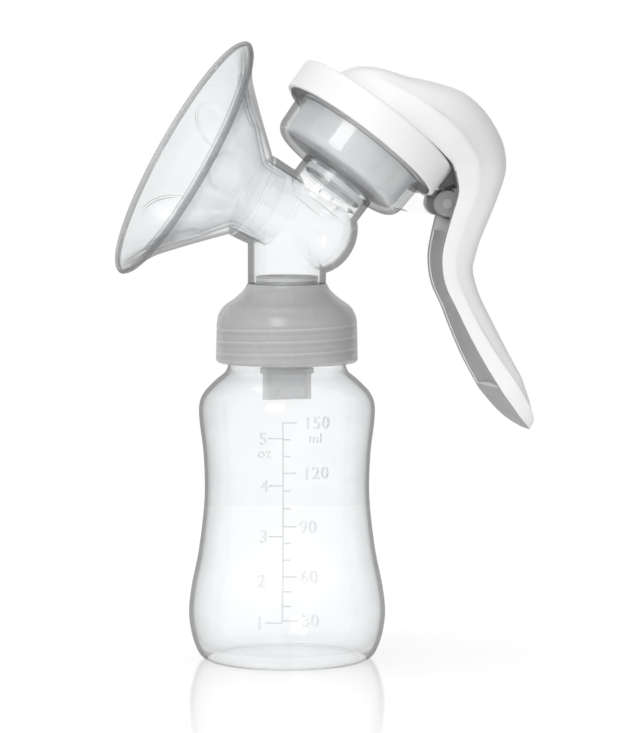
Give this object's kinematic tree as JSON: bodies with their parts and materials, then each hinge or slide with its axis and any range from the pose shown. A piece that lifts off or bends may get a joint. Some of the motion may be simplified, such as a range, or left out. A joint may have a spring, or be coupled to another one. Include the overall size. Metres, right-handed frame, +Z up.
{
  "type": "manual breast pump",
  "caption": "Hand-operated breast pump: a funnel with a soft petal liner, a lever-driven diaphragm head, a milky screw collar and a waisted, graduated bottle.",
  "frame": {"origin": "bottle axis at the surface the bottle stands on", "axes": "+Z up along the bottle axis, -X towards the funnel's mouth, +X towards the squeeze lever; the object is symmetric about the XZ plane"},
  "size_m": [0.1281, 0.079, 0.1868],
  "materials": {
    "clear_pp": "clear moulded polypropylene",
    "milky_pp": "translucent milky polypropylene",
    "white_pp": "opaque white, smooth gloss",
    "grey_grip": "satin grey, finely textured",
    "clear_silicone": "soft translucent silicone",
    "satin_silicone": "satin grey-white silicone"
  },
  "bodies": {
    "bottle": {"bottle": "clear_pp"},
    "seal": {"bottle_seal": "satin_silicone"},
    "pump": {"bottle_adapter": "milky_pp", "tube_seal": "satin_silicone", "duckbill_valve": "satin_silicone", "pump_body": "clear_pp", "breast_shield": "clear_pp", "massage_cushion": "clear_silicone", "vacuum_cup": "clear_pp", "cup_seal": "satin_silicone", "diaphragm": "satin_silicone", "guide_plate": "white_pp", "cap_ring": "white_pp", "pivot_pin": "white_pp"},
    "handle": {"handle_shell": "white_pp", "handle_cover": "grey_grip", "stem_hook": "white_pp"},
    "stem": {"pump_stem": "white_pp", "stem_washer": "white_pp"}
  },
  "joints": [
    {"name": "unit_lift", "type": "slide", "parent": "bottle", "child": "seal", "axis": [0, 0, 1], "range_m": [0, 0.0045]},
    {"name": "unit_unscrew", "type": "hinge", "parent": "seal", "child": "pump", "pos_m": [0, 0, 0.1], "axis": [0, 0, 1], "range_deg": [0, 450]},
    {"name": "handle_squeeze", "type": "hinge", "parent": "pump", "child": "handle", "pos_m": [0.04849, 0, 0.13797], "axis": [0, 1, 0], "range_deg": [0, 20], "stiffness_Nm_per_rad": 0.8},
    {"name": "diaphragm_stroke", "type": "slide", "parent": "pump", "child": "stem", "axis": [0.6184, 0, 0.7859], "range_m": [0, 0.0126], "deforming": ["diaphragm"]}
  ],
  "couplings": [
    {"joint": "unit_lift", "follows": "unit_unscrew", "m_per_rad": 0.00057296},
    {"joint": "diaphragm_stroke", "follows": "handle_squeeze", "m_per_rad": 0.03575}
  ]
}
